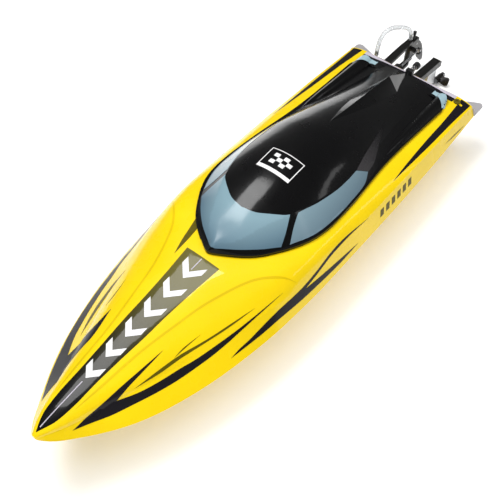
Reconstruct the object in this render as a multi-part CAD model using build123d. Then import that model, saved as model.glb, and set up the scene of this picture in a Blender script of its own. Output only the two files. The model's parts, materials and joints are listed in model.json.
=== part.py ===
from build123d import *
from math import cos, pi, radians, sin, tan
import os

# Model boat, millimetres. Working frame: x to the bow, y to port, z up, transom at
# x = -300, bow tip at x = 300 and the keel at z = 0. The last section moves every part
# so that the bottom centre of the whole model is at the origin.

# ---------------------------------------------------------------- driving dimensions
TRANSOM_X = -300.0
TRANSOM_T = 3.0
STATION_STEP = 25.0
HULL_WALL = 2.2
DECK_WALL = 2.0
CANOPY_WALL = 2.2

# Hull bottom offsets: x, keel height, keel pad half-width, chine half-breadth, chine height
HULL_ROWS = [
    (-300, 0, 9, 90, 33.5), (-200, 0, 9, 94, 33.5), (-100, 0, 9, 95.5, 33.5),
    (0, 0, 8.5, 95.5, 33.5), (70, 0.3, 7.5, 92, 32.8), (130, 2, 6, 83.5, 31.8),
    (180, 5.5, 4.5, 71.5, 31.4), (225, 12, 3.4, 55, 32.6), (260, 21, 2.6, 35.5, 36.5),
    (285, 33, 2, 17.5, 42.5), (296, 42, 1.6, 7.5, 46.5), (300, 47.5, 1.2, 3, 49),
]
# Deck offsets: x, knuckle half-breadth and height, crease half-breadth and height, centre height
DECK_ROWS = [
    (-300, 84.5, 46.5, 75, 49.2, 50), (-200, 86, 51, 74.5, 55.8, 57.5),
    (-100, 87, 53.5, 75.5, 62.5, 65.5), (0, 86.5, 54.5, 77, 67.5, 73),
    (35, 84.5, 54.5, 72, 69, 74.5), (70, 79, 53.5, 54, 70, 75.5), (110, 69, 51.5, 35.5, 69.5, 73.2),
    (150, 57, 50, 27, 67.5, 70.6), (195, 42.5, 49, 21, 64, 66.8), (235, 29, 48.5, 17, 60.5, 62.8),
    (270, 17.5, 49.5, 12, 56.7, 58.6), (290, 8.4, 51, 5.6, 54.2, 55.6), (300, 2.4, 50.5, 1.4, 51.6, 52.2),
]

# Canopy outline in plan (half), from the front vertex to the rear edge
RIM_POINTS = [
    (73, 0), (70, 8), (62, 20), (49, 36.5), (31, 50.5), (14, 60.5), (-6, 68), (-32, 71.5),
    (-60, 71), (-95, 68.7), (-135, 65), (-175, 63.7), (-215, 64), (-262, 65),
]
RIM_REAR_CORNER = (-288, 58)
# Canopy body: x, side half-breadth and foot, roofline half-breadth and height, centre height
CANOPY_ROWS = [
    (73.5, 5, 74.5, 2, 76.2, 77), (60, 23, 75.5, 9, 82, 83), (45, 40.5, 74.8, 20, 87, 89),
    (22, 57, 73, 30, 93, 98), (0, 66.2, 71.3, 40, 94.5, 103), (-25, 71.2, 69.6, 47.5, 92.5, 107),
    (-60, 71.6, 67, 52, 88.5, 109.5), (-100, 69, 64.2, 52.7, 83.5, 106.5), (-140, 65.3, 61.2, 49, 76.5, 98.5),
    (-190, 64.2, 57.5, 42, 68, 85), (-240, 65.4, 53.8, 36, 60, 70), (-288, 65.6, 50.1, 30, 53.5, 57.5),
]
CANOPY_FOOT_DEPTH = 12.0
CANOPY_LIFT = 0.8            # gasket thickness between deck and canopy
RIM_TO_OPENING = 9.0         # deck ledge that carries the canopy
LIP_GAP = 0.8
LIP_WALL = 2.0
LIP_DEPTH = 5.0
FLANGE_T = 2.4

# Tail fin: x, half-base, base height, ridge height
TAIL_ROWS = [
    (-95, 16, 100, 106.4), (-150, 21, 88, 98.5), (-200, 20, 74, 91), (-243, 18, 62, 84.5),
    (-287, 1.2, 53, 59.5),
]
# Nacelles: x, centre half-breadth, half-width, foot height, top height
NACELLE_ROWS = [
    (-138, 57, 1, 58, 64), (-170, 56.2, 5.2, 56, 66.5), (-210, 55.2, 7.2, 52, 65),
    (-250, 54.6, 8.2, 49, 62.5), (-284, 54.4, 8.4, 47, 59.8),
]
# Crescent ring laid obliquely over each nacelle, near its aft end
RING_PROUD = 0.7
RING_WIDTH = 4.6
RING_X, RING_Y = -275.0, 55.5
RING_ANGLE = 35.0

# Latch on the centreline of the transom edge
LATCH_Z = 55.0
LATCH_R = 1.5
LATCH_GAP = 0.05
LATCH_NOSE_X = -288.5        # half a millimetre short of the canopy
LATCH_BOSS = (-286.5, -275.0)
LATCH_HOLE_END = -277.0
LATCH_TAIL_X = -309.0
LUG_X = -295.6
LUG_LENGTH = 6.0

# Propeller shaft line
HUB = Vector(-388, 0, -17)
SHAFT_ANGLE = 7.0
SHAFT_R = 2.0
BUSHING_GAP = 0.05
TUBE_R = 3.2
TUBE_BORE = 2.5
STRUT_START, STRUT_END = 18.0, 50.0
TUBE_START, TUBE_END = 52.0, 262.0
SHAFT_END = 290.0
COUPLER_START, COUPLER_LENGTH = 276.0, 30.0
MOTOR_START, MOTOR_LENGTH, MOTOR_R = 320.0, 62.0, 18.0
PROP_R = 16.0

# Steering: rudder axis, tiller arm and push rod
RUDDER_X, RUDDER_Y = -360.0, -38.0
ARM_R = 14.0
ROD_Z = 36.0
SERVO_X = -215.0
PIVOT_R = 1.5

# Battery packs: size, centre of the port pack, underside
BATTERY = (118.0, 30.0, 22.0)
BATTERY_X, BATTERY_Y, BATTERY_Z = -60.0, 52.0, 28.0
TRAY_T = 2.0
RADIO_TRAY_Z = 17.5

# Cooling tube centre line, from the rudder pivot to the transom
TUBE_PATH = [(-360, -38, 46), (-359, -38.3, 57), (-352, -40.5, 66.5), (-339.5, -44.5, 73), (-325, -48.5, 79),
             (-313.5, -51.5, 77.5), (-308.5, -53.5, 69), (-307.8, -54.6, 57), (-308, -55, 45.5)]
ELBOW_Z = 43.0
TUBE_OUTER = 2.6
TUBE_INNER = 1.7

PARTS = {}


# ---------------------------------------------------------------- helpers
def box(x0, x1, y0, y1, z0, z1):
    """Box between two opposite corners."""
    size = (x1 - x0, y1 - y0, z1 - z0)
    return Pos(x0, y0, z0) * Box(*size, align=(Align.MIN, Align.MIN, Align.MIN))


def rod_z(x, y, z0, z1, r):
    """Upright cylinder."""
    return Pos(x, y, z0) * Cylinder(r, z1 - z0, align=(Align.CENTER, Align.CENTER, Align.MIN))


def rod_x(x0, x1, y, z, r):
    """Cylinder along x."""
    start = Plane(origin=(x0, y, z), x_dir=(0, 1, 0), z_dir=(1, 0, 0))
    return start * Cylinder(r, x1 - x0, align=(Align.CENTER, Align.CENTER, Align.MIN))


def rod_y(x, y0, y1, z, r):
    """Cylinder along y."""
    start = Plane(origin=(x, y0, z), x_dir=(1, 0, 0), z_dir=(0, 1, 0))
    return start * Cylinder(r, y1 - y0, align=(Align.CENTER, Align.CENTER, Align.MIN))


SHAFT_DIR = Vector(cos(radians(SHAFT_ANGLE)), 0, sin(radians(SHAFT_ANGLE)))


def on_shaft(s):
    """Plane across the shaft line, a distance s in front of the propeller."""
    return Plane(origin=HUB + SHAFT_DIR * s, x_dir=(0, 1, 0), z_dir=SHAFT_DIR)


def shaft_rod(s0, s1, r):
    return on_shaft(s0) * Cylinder(r, s1 - s0, align=(Align.CENTER, Align.CENTER, Align.MIN))


def prism_y(points, y0, y1):
    """Side profile given as x, z points, extruded from y0 to y1."""
    outline = make_face(Polyline([(x, y0, z) for x, z in points], close=True))
    return extrude(outline, amount=y1 - y0, dir=(0, 1, 0))


def group(shapes):
    """Several separate solids as one part."""
    return Compound([solid for shape in shapes for solid in shape.solids()])


def mirror_y(part):
    return mirror(part, about=Plane.XZ)


def closed_loft(sections):
    """Smooth loft through closed sections, each one a list of edges."""
    return Solid.make_loft([Wire(edges) for edges in sections])


def chain(points):
    """Straight edges through the points, closed."""
    ends = points[1:] + points[:1]
    return [Edge.make_line(a, b) for a, b in zip(points, ends)]


def arch_points(y_out, z_out, y_in, z_in, z_top):
    """Points over the top from port outside to starboard outside."""
    middle = (y_in / 2, z_top - (z_top - z_in) / 4)
    half = [(y_out, z_out), (y_in, z_in), middle]
    return half + [(0, z_top)] + [(-y, z) for y, z in reversed(half)]


# ---------------------------------------------------------------- hull and deck bodies
def slope(rows, i, k):
    """Slope of column k at row i, flat at a turning point (keeps the line monotone)."""
    if i in (0, len(rows) - 1):
        j = min(max(i, 1), len(rows) - 1)
        return (rows[j][k] - rows[j - 1][k]) / (rows[j][0] - rows[j - 1][0])
    before = (rows[i][k] - rows[i - 1][k]) / (rows[i][0] - rows[i - 1][0])
    after = (rows[i + 1][k] - rows[i][k]) / (rows[i + 1][0] - rows[i][0])
    if before * after <= 0:
        return 0.0
    return 2 * before * after / (before + after)


def row_at(rows, x):
    """Offsets at any station, by a smooth curve through the rows of the table."""
    i = max(k for k in range(len(rows) - 1) if rows[k][0] <= x or k == 0)
    a, b = rows[i], rows[i + 1]
    span = b[0] - a[0]
    t = (x - a[0]) / span
    values = []
    for k in range(1, len(a)):
        m0 = slope(rows, i, k) * span
        m1 = slope(rows, i + 1, k) * span
        cubic = (2 * t ** 3 - 3 * t ** 2 + 1) * a[k] + (t ** 3 - 2 * t ** 2 + t) * m0
        cubic += (3 * t ** 2 - 2 * t ** 3) * b[k] + (t ** 3 - t ** 2) * m1
        values.append(cubic)
    return values


def stations(end):
    """Even stations from the transom to the given end."""
    count = round((end - TRANSOM_X) / STATION_STEP)
    return [TRANSOM_X + (end - TRANSOM_X) * i / count for i in range(count + 1)]


def hull_body(inset, end):
    """V bottom up to the chine; with an inset it is the space inside the shell."""
    sections = []
    for x in stations(end):
        keel, pad, half, chine = row_at(HULL_ROWS, x)
        side = half - 1.6 * inset
        corners = [(x, max(pad - 0.3 * inset, 0.4), keel + inset), (x, side, chine)]
        if inset:
            corners.append((x, side, chine + 8))
        corners += [(x, -y, z) for x, y, z in reversed(corners)]
        sections.append(chain(corners))
    return closed_loft(sections)


def deck_body(inset, end):
    """Deck and sides down to the chine; with an inset it is the space inside."""
    sections = []
    for x in stations(end):
        half, chine = row_at(HULL_ROWS, x)[2:]
        y_out, z_out, y_in, z_in, z_top = row_at(DECK_ROWS, x)
        half -= 1.25 * inset
        foot = [(half, chine - 8), (half, chine)] if inset else [(half, chine)]
        arch = arch_points(y_out - inset, z_out - inset, y_in - 0.5 * inset, z_in - inset,
                           z_top - inset)
        side = [arch[0]] + foot[::-1]
        path = side + [(-y, z) for y, z in reversed(side)]
        path = [(x, y, z) for y, z in path]
        edges = [Edge.make_line(p, q) for p, q in zip(path, path[1:])]
        edges.append(Edge.make_spline([(x, y, z) for y, z in reversed(arch)]))
        sections.append(edges)
    return closed_loft(sections)


hull_outer = hull_body(0, 300)
hull_space = hull_body(HULL_WALL, 282)
deck_outer = deck_body(0, 300)
deck_space = deck_body(DECK_WALL, 276)

transom_slab = box(TRANSOM_X, TRANSOM_X + TRANSOM_T, -200, 200, -50, 200)
FRONT_OF_TRANSOM = box(TRANSOM_X + TRANSOM_T, 400, -200, 200, -50, 200)


# ---------------------------------------------------------------- canopy bodies
def inset_rim(inset):
    """Port half of the canopy outline, each point moved in square to the curve."""
    inner = []
    for i, (x, y) in enumerate(RIM_POINTS):
        before = RIM_POINTS[i - 1] if i else (x, -1)
        after = RIM_POINTS[i + 1] if i + 1 < len(RIM_POINTS) else (x - 1, y)
        along = Vector(after[0] - before[0], after[1] - before[1]).normalized()
        inner.append((x - inset * along.Y, y + inset * along.X))
    return inner


def rim_outline(inset, z0, z1):
    """Upright prism on the canopy outline in plan, drawn in by the inset."""
    half = [(x, y, z0) for x, y in inset_rim(inset)]
    starboard = [(x, -y, z) for x, y, z in half[:0:-1]]
    corner = (RIM_REAR_CORNER[0] + inset, RIM_REAR_CORNER[1] - 0.8 * inset, z0)
    corner_s = (corner[0], -corner[1], z0)
    edges = [Edge.make_spline(starboard + half), Edge.make_line(half[-1], corner)]
    edges += [Edge.make_line(corner, corner_s), Edge.make_line(corner_s, starboard[0])]
    return extrude(make_face(Wire(edges)), amount=z1 - z0, dir=(0, 0, 1))


def canopy_body(inset, start, end, step):
    """Windscreen, roof and rear cover as one body reaching below the deck."""
    count = round((end - start) / step)
    sections = []
    for i in range(count + 1):
        x = start + (end - start) * i / count
        foot_y, foot_z, roof_y, roof_z, top = row_at(CANOPY_TABLE, x)
        foot_y = max(foot_y - 1.3 * inset, 1)
        roof_y = max(roof_y - 0.6 * inset, 0.6)
        roof_z -= inset
        top -= inset
        foot = foot_z - CANOPY_FOOT_DEPTH
        near = (0.55 * roof_y, top - 0.3 * (top - roof_z))
        arch = [(roof_y, roof_z), near, (0, top), (-near[0], near[1]), (-roof_y, roof_z)]
        side = [(roof_y, roof_z), (foot_y, foot_z), (foot_y, foot)]
        path = side + [(-y, z) for y, z in reversed(side)]
        path = [(x, y, z) for y, z in path]
        edges = [Edge.make_line(p, q) for p, q in zip(path, path[1:])]
        edges.append(Edge.make_spline([(x, y, z) for y, z in reversed(arch)]))
        sections.append(edges)
    return closed_loft(sections)


CANOPY_TABLE = CANOPY_ROWS[::-1]
TAIL_TABLE = TAIL_ROWS[::-1]
NACELLE_TABLE = NACELLE_ROWS[::-1]


def tail_body(inset):
    """Ridge of the tail fin, triangular across."""
    sections = []
    for x, half, base, ridge in TAIL_TABLE:
        points = [(half, base - 12), (half, base), (0, ridge), (-half, base), (-half, base - 12)]
        sections.append(Wire(chain([(x, y, z) for y, z in points])))
    return Solid.make_loft(sections, ruled=True)


def nacelle_body(side, proud=0):
    """Long half-round bulge beside the tail."""
    sections = []
    for x, middle, half, foot, top in NACELLE_TABLE:
        y = side * middle
        half += proud
        top += proud
        shoulder = foot + 0.72 * (top - foot)
        near = 0.78 * half
        bow = [(y + half, foot), (y + near, shoulder), (y, top), (y - near, shoulder), (y - half, foot)]
        edges = [Edge.make_spline([(x, v, z) for v, z in bow])]
        edges.append(Edge.make_line((x, y - half, foot), (x, y - half, foot - 8)))
        edges.append(Edge.make_line((x, y - half, foot - 8), (x, y + half, foot - 8)))
        edges.append(Edge.make_line((x, y + half, foot - 8), (x, y + half, foot)))
        sections.append(Wire(edges))
    return Solid.make_loft(sections)


def deck_band(low, high):
    """Layer that follows the deck surface between two offsets from it."""
    return (Pos(0, 0, high) * deck_outer) - (Pos(0, 0, low) * deck_outer)


# ---------------------------------------------------------------- hull, deck and covers
PARTS["hull_shell"] = hull_outer - (hull_space & FRONT_OF_TRANSOM) + (deck_space & transom_slab)

opening = rim_outline(RIM_TO_OPENING, 30, 120)
deck = deck_outer - deck_space - opening
DRAIN_AT = (-290.5, 68.5)
DRAIN_R = 2.6
drain_z = 50.6
deck -= rod_z(*DRAIN_AT, 40, 60, DRAIN_R + 0.02)
PARTS["deck"] = deck

plug = rod_z(*DRAIN_AT, drain_z - 4, drain_z, DRAIN_R)
plug += rod_z(*DRAIN_AT, drain_z, drain_z + 1.6, DRAIN_R + 1.6)
plug -= rod_z(*DRAIN_AT, drain_z + 0.6, drain_z + 2, DRAIN_R - 0.6)
PARTS["drain_plug"] = plug - deck

canopy_outer = canopy_body(0, -288, 73.5, 20) + tail_body(0)
for side in (1, -1):
    canopy_outer += nacelle_body(side)
canopy_outer &= rim_outline(0, 0, 200)
canopy = canopy_outer - canopy_body(CANOPY_WALL, -285, 64, 20)
deck_lifted = Pos(0, 0, CANOPY_LIFT) * deck_outer
canopy -= deck_lifted
lip_out = RIM_TO_OPENING + LIP_GAP
lip_in = lip_out + LIP_WALL
flange = rim_outline(0.4, 30, 120) - rim_outline(lip_in, 30, 120)
flange &= deck_band(CANOPY_LIFT, CANOPY_LIFT + FLANGE_T)
lip = rim_outline(lip_out, 30, 120) - rim_outline(lip_in, 30, 120)
lip &= deck_band(-LIP_DEPTH, CANOPY_LIFT + FLANGE_T)
boss = rod_x(*LATCH_BOSS, 0, LATCH_Z, 3.4) - deck_lifted
canopy = canopy + flange + lip + boss
canopy -= rod_x(-290, LATCH_HOLE_END, 0, LATCH_Z, LATCH_R + LATCH_GAP)
PARTS["canopy"] = canopy

seal = rim_outline(0.5, 30, 120) - rim_outline(RIM_TO_OPENING - 0.5, 30, 120)
PARTS["canopy_seal"] = seal & deck_band(0, CANOPY_LIFT)

rings = []
for side in (1, -1):
    slab = Pos(RING_X, side * RING_Y, 60) * Rot(0, 0, side * RING_ANGLE) * Box(60, RING_WIDTH, 60)
    rings.append((nacelle_body(side, RING_PROUD) & slab) - canopy_outer - canopy - deck_lifted)
PARTS["nacelle_rings"] = group(rings)


# ---------------------------------------------------------------- latch
lug = box(LUG_X - LUG_LENGTH / 2 + 1.2, LUG_X + LUG_LENGTH / 2, -4.5, 4.5, 45, LATCH_Z + 4.2)
lug -= deck_outer
lug -= rod_x(LUG_X - 10, LUG_X + 10, 0, LATCH_Z, LATCH_R + LATCH_GAP)
PARTS["latch_lug"] = lug
PARTS["latch_pin"] = rod_x(LATCH_TAIL_X, LATCH_NOSE_X, 0, LATCH_Z, LATCH_R)
knob = rod_x(LATCH_TAIL_X - 5, LATCH_TAIL_X + 1.5, 0, LATCH_Z, 4.2)
knob = fillet(knob.edges().filter_by(GeomType.CIRCLE), 1.2)
PARTS["latch_knob"] = knob - PARTS["latch_pin"]
SPRING_R = 2.6
SPRING_WIRE = 0.4
spring_x0, spring_x1 = LATCH_TAIL_X + 2.1, LUG_X - LUG_LENGTH / 2 + 0.7
coils = Helix(pitch=2.1, height=spring_x1 - spring_x0, radius=SPRING_R)
wire = sweep(Plane(origin=coils @ 0, z_dir=coils % 0) * Circle(SPRING_WIRE), path=coils)
to_latch = Plane(origin=(spring_x0, 0, LATCH_Z), x_dir=(0, 1, 0), z_dir=(1, 0, 0))
PARTS["latch_spring"] = to_latch * wire


# ---------------------------------------------------------------- drive
stuffing = shaft_rod(TUBE_START, TUBE_END, TUBE_R)
PARTS["hull_shell"] -= stuffing
PARTS["stuffing_tube"] = stuffing - shaft_rod(TUBE_START - 1, TUBE_END + 1, TUBE_BORE)
PARTS["prop_shaft"] = shaft_rod(-13, SHAFT_END, SHAFT_R)

MOTOR_SHAFT_R = 2.5
MOTOR_SHAFT_END = MOTOR_START + MOTOR_LENGTH - 8
PARTS["motor_shaft"] = shaft_rod(SHAFT_END, MOTOR_SHAFT_END, MOTOR_SHAFT_R)
coupler = shaft_rod(COUPLER_START, COUPLER_START + COUPLER_LENGTH, 6.5)
coupler -= shaft_rod(COUPLER_START - 1, SHAFT_END, SHAFT_R)
coupler -= shaft_rod(SHAFT_END, COUPLER_START + COUPLER_LENGTH + 1, MOTOR_SHAFT_R)
GRUB_R = 1.2
grubs = []
for s in (COUPLER_START + 6, COUPLER_START + COUPLER_LENGTH - 6):
    grub = on_shaft(s) * (Rot(-90, 0, 0) * Pos(0, 0, 2.5) * Cylinder(
        GRUB_R, 3.4, align=(Align.CENTER, Align.CENTER, Align.MIN)))
    grubs.append(grub - PARTS["motor_shaft"] - PARTS["prop_shaft"])
    coupler -= grub
PARTS["coupler"] = coupler
PARTS["coupler_screws"] = group(grubs)

MOUNT_T = 4.0
motor_end = MOTOR_START + MOTOR_LENGTH
can = shaft_rod(MOTOR_START, motor_end, MOTOR_R)
can -= shaft_rod(MOTOR_START - 1, MOTOR_SHAFT_END + 1, MOTOR_SHAFT_R + BUSHING_GAP)
mount = on_shaft(MOTOR_START - MOUNT_T) * (Pos(0, -2, MOUNT_T / 2) * Box(42, 48, MOUNT_T))
foot = box(-93, -66, -21, 21, 0, 5.5)
mount = (mount + foot) & hull_space
mount -= shaft_rod(MOTOR_START - 20, MOTOR_START + 1, 5)
mount -= shaft_rod(MOTOR_START, motor_end, MOTOR_R + 0.05)
screws = []
for i in range(4):
    around = on_shaft(MOTOR_START - MOUNT_T) * Rot(0, 0, 45 + 90 * i)
    head = around * Pos(12.5, 0, -2) * Cylinder(2.6, 2, align=(Align.CENTER, Align.CENTER, Align.MIN))
    body = around * Pos(12.5, 0, 0) * Cylinder(1.5, 10, align=(Align.CENTER, Align.CENTER, Align.MIN))
    screws.append(head + body)
    mount -= head + body
    can -= body
PARTS["motor_screws"] = group(screws)
PARTS["motor_mount"] = mount
PARTS["motor_can"] = can

jacket = shaft_rod(MOTOR_START + 26, MOTOR_START + 52, MOTOR_R + 2)
jacket -= shaft_rod(MOTOR_START, motor_end, MOTOR_R)
for s in (30, 48):
    barb = on_shaft(MOTOR_START + s) * (Rot(-90, 0, 0) * Pos(0, 0, MOTOR_R + 1.5) * Cylinder(
        1.7, 6, align=(Align.CENTER, Align.CENTER, Align.MIN)))
    jacket += barb
PARTS["motor_jacket"] = jacket

# Strut: arm bolted to the transom, leg with the shaft barrel below it
ARM_PROFILE = [(-300, 12), (-300, 38), (-304, 38), (-318, 33), (-345, 30), (-369, 28), (-372, 25),
               (-372, 17.5), (-345, 21.5), (-318, 25), (-304, 23), (-304, 12)]
arm = prism_y(ARM_PROFILE, -5.5, 5.5)
leg_profile = [(-369, -14), (-369, 21), (-349, 26), (-344, -12)]
leg = prism_y(leg_profile, -2.5, 2.5)
leg += shaft_rod(STRUT_START, STRUT_END, 5)
leg -= shaft_rod(STRUT_START - 1, STRUT_END + 1, 3)
leg -= arm
PARTS["strut_leg"] = leg
bushings = []
for s in (STRUT_START, STRUT_END - 8):
    bushings.append(shaft_rod(s, s + 8, 3) - shaft_rod(s - 1, s + 9, SHAFT_R + BUSHING_GAP))
PARTS["strut_bushings"] = group(bushings)

flange_plate = box(-303, -300, -13, 13, 12, 26)
arm += flange_plate
strut_screws = []
for y in (-10, 10):
    for z in (15.5, 22.5):
        strut_screws.append(rod_x(-305, -303, y, z, 2.2) + rod_x(-303, -298, y, z, 1.3))
for screw in strut_screws:
    arm -= screw
    PARTS["hull_shell"] -= screw
PARTS["strut_bracket"] = arm
PARTS["strut_screws"] = group(strut_screws)

PARTS["drive_dog"] = shaft_rod(8, 14, 3.6) - PARTS["prop_shaft"]
hexagon = on_shaft(-13) * extrude(RegularPolygon(radius=3.8, side_count=6), amount=5)
PARTS["prop_nut"] = hexagon - PARTS["prop_shaft"]

# Propeller: hub and two twisted blades
BLADE_ROWS = [(2.5, 7, 2.4, -58), (7, 10, 2.0, -42), (11.5, 11.5, 1.5, -33), (15.2, 8, 1.0, -28)]
BLADE_TURN = 4.0
prop = shaft_rod(-8, 8, 4.2)
for turn in (BLADE_TURN, BLADE_TURN + 180):
    across = Vector(0, 1, 0).rotate(Axis((0, 0, 0), SHAFT_DIR), turn)
    around = SHAFT_DIR.cross(across)
    faces = []
    for radius, chord, thick, pitch in BLADE_ROWS:
        chord_dir = around * cos(radians(pitch)) + SHAFT_DIR * sin(radians(pitch))
        at = Plane(origin=HUB + across * radius, x_dir=chord_dir, z_dir=across)
        faces.append(at * Ellipse(chord / 2, thick / 2))
    prop += loft(faces)
PARTS["propeller"] = prop - shaft_rod(-9, 9, SHAFT_R)


# ---------------------------------------------------------------- steering
STOCK_LOW, STOCK_HIGH = 9.6, 39.4
ARM_LOW, ARM_T = 31.5, 2.0
PIN_R = 1.2
JAW_PLAN = [(-303, RUDDER_Y - 5), (-303, RUDDER_Y + 5), (-345, RUDDER_Y + 4.6), (RUDDER_X, RUDDER_Y + 3.6),
            (RUDDER_X, RUDDER_Y - 3.6), (-345, RUDDER_Y - 4.6)]


def jaw(z0, z1):
    """Arm from the transom plate to the rudder axis, round at its end."""
    face = make_face(Polyline([(x, y, z0) for x, y in JAW_PLAN], close=True))
    return extrude(face, amount=z1 - z0, dir=(0, 0, 1)) + rod_z(RUDDER_X, RUDDER_Y, z0, z1, 3.9)


bracket = box(-304, -300, RUDDER_Y - 12, RUDDER_Y + 8, 8, 47)
bracket += jaw(STOCK_HIGH + 0.4, 43.6)
bracket += jaw(5.4, STOCK_LOW - 0.4)
bracket += prism_y([(-304, 26), (-304, 40), (-322, 40)], RUDDER_Y - 2, RUDDER_Y + 2)
bracket_screws = []
for y in (RUDDER_Y - 9, RUDDER_Y + 5.5):
    for z in (12.5, 30):
        bracket_screws.append(rod_x(-306, -304, y, z, 2.0) + rod_x(-304, -298, y, z, 1.2))
for screw in bracket_screws:
    bracket -= screw
    PARTS["hull_shell"] -= screw
pivot = rod_z(RUDDER_X, RUDDER_Y, 4, 44, PIVOT_R)
pivot += rod_z(RUDDER_X, RUDDER_Y, 2.4, 5.4, 2.8)
pivot += rod_z(RUDDER_X, RUDDER_Y, 43.6, 53, TUBE_INNER - 0.05)
bracket -= rod_z(RUDDER_X, RUDDER_Y, 5.4, 43.6, PIVOT_R)
PARTS["rudder_bracket_screws"] = group(bracket_screws)
PARTS["rudder_pivot"] = pivot

BLADE_T = 3.4
STOCK_HALF = 3.4
stock_profile = [(RUDDER_X, STOCK_LOW), (RUDDER_X, STOCK_HIGH), (RUDDER_X - 18, STOCK_HIGH),
                 (RUDDER_X - 20, 31), (RUDDER_X - 11, 20), (RUDDER_X - 8, STOCK_LOW)]
stock = prism_y(stock_profile, RUDDER_Y - STOCK_HALF, RUDDER_Y + STOCK_HALF)
stock += rod_z(RUDDER_X, RUDDER_Y, STOCK_LOW, STOCK_HIGH, STOCK_HALF)
stock -= rod_z(RUDDER_X, RUDDER_Y, 0, 60, PIVOT_R + BUSHING_GAP)
slot = box(RUDDER_X - 23, RUDDER_X - 8, RUDDER_Y - BLADE_T / 2, RUDDER_Y + BLADE_T / 2, 0, STOCK_HIGH - 5)
stock -= slot
blade_profile = [(-368, 34), (-379, 34), (-387, 27.5), (-394, 18), (-399.5, 6), (-403.5, -7), (-403.5, -12),
                 (-399, -12), (-391.5, -3), (-385, 8), (-378, 18), (-368, 19.5)]
blade = prism_y(blade_profile, RUDDER_Y - BLADE_T / 2, RUDDER_Y + BLADE_T / 2)
rudder_screws = []
for x, z in ((RUDDER_X - 11.5, 25), (RUDDER_X - 15.5, 30.5)):
    screw = rod_y(x, RUDDER_Y - 5.4, RUDDER_Y + STOCK_HALF, z, 1.4)
    screw += rod_y(x, RUDDER_Y - 5.4, RUDDER_Y - STOCK_HALF, z, 2.5)
    rudder_screws.append(screw)
    stock -= screw
    blade -= screw
PARTS["rudder_blade"] = blade
PARTS["rudder_screws"] = group(rudder_screws)

tiller_y = RUDDER_Y + ARM_R
tiller_root = RUDDER_Y + STOCK_HALF
tiller = box(RUDDER_X - 3.6, RUDDER_X + 3.6, tiller_root, tiller_y, ARM_LOW, ARM_LOW + ARM_T)
tiller += rod_z(RUDDER_X, tiller_y, ARM_LOW, ARM_LOW + ARM_T, 3.6)
tiller += rod_z(RUDDER_X, tiller_y, ARM_LOW, ROD_Z + 2.2, PIN_R)
tiller += box(RUDDER_X - 4, RUDDER_X + 4, tiller_root, tiller_root + 1.6, ARM_LOW - 6, ARM_LOW)
tiller -= stock
PARTS["tiller_arm"] = tiller
PARTS["rudder_stock"] = stock
shear_x = RUDDER_X - 9.5
shear = rod_z(shear_x, RUDDER_Y, STOCK_HIGH, 50, 1.5) + rod_z(shear_x, RUDDER_Y, 47.5, 51.5, 2.2)
PARTS["shear_pin"] = shear

LINK_R = 3.0
LINK_LOW, LINK_HIGH = ROD_Z - 2, ROD_Z + 2
rod = rod_x(RUDDER_X, SERVO_X, tiller_y, ROD_Z, 1.0)
for x in (RUDDER_X, SERVO_X):
    rod += rod_z(x, tiller_y, LINK_LOW, LINK_HIGH, LINK_R)
for x in (RUDDER_X, SERVO_X):
    rod -= rod_z(x, tiller_y, LINK_LOW - 1, LINK_HIGH + 1, PIN_R + BUSHING_GAP)
PARTS["pushrod"] = rod

ROD_HOLE_R = 4.2
BELLOWS_R = 7.0
rod_hole_y = tiller_y - 1
PARTS["hull_shell"] -= rod_x(-310, -290, rod_hole_y, ROD_Z, ROD_HOLE_R)
bellows = rod_x(-303, -300, rod_hole_y, ROD_Z, BELLOWS_R)
for i in range(4):
    ring_x = -303 - 3 * (i + 1)
    bellows += rod_x(ring_x + 1, ring_x + 3, rod_hole_y, ROD_Z, 5.4)
    bellows += rod_x(ring_x, ring_x + 1, rod_hole_y, ROD_Z, 6.4 - 0.2 * i)
bellows -= rod_x(-330, -290, rod_hole_y, ROD_Z, ROD_HOLE_R)
PARTS["pushrod_bellows"] = bellows
PARTS["rudder_bracket"] = bracket - rod_x(-330, -300, rod_hole_y, ROD_Z, BELLOWS_R + 0.2)

radio_tray = box(-245, -118, -70, 70, RADIO_TRAY_Z, RADIO_TRAY_Z + TRAY_T) & hull_space
floor = RADIO_TRAY_Z + TRAY_T
SERVO = (32.0, 12.0, 10.0)
servo_x0 = SERVO_X - 8
servo = box(servo_x0, servo_x0 + SERVO[0], RUDDER_Y - 6, RUDDER_Y + 6, floor, floor + SERVO[2])
servo += box(servo_x0 - 5, servo_x0 + SERVO[0] + 5, RUDDER_Y - 6, RUDDER_Y + 6, floor + 6, floor + 7.5)
servo += rod_z(SERVO_X, RUDDER_Y, floor + SERVO[2], ARM_LOW - 0.6, 4)
servo += rod_z(SERVO_X, RUDDER_Y, ARM_LOW - 0.6, ARM_LOW + ARM_T, 2)
PARTS["servo"] = servo
mounts = []
for x in (servo_x0 - 5, servo_x0 + SERVO[0] + 0.3):
    mounts.append(box(x, x + 4.7, RUDDER_Y - 6, RUDDER_Y + 6, floor, floor + 6))
PARTS["servo_mount"] = group(mounts)
horn = rod_z(SERVO_X, RUDDER_Y, ARM_LOW, ARM_LOW + ARM_T, 4.4)
horn += box(SERVO_X - 3, SERVO_X + 3, RUDDER_Y, tiller_y, ARM_LOW, ARM_LOW + ARM_T)
horn += rod_z(SERVO_X, tiller_y, ARM_LOW, ARM_LOW + ARM_T, 3)
horn += rod_z(SERVO_X, tiller_y, ARM_LOW, ROD_Z + 2.2, PIN_R)
horn -= rod_z(SERVO_X, RUDDER_Y, 0, 60, 2 + BUSHING_GAP)
PARTS["servo_horn"] = horn


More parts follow.
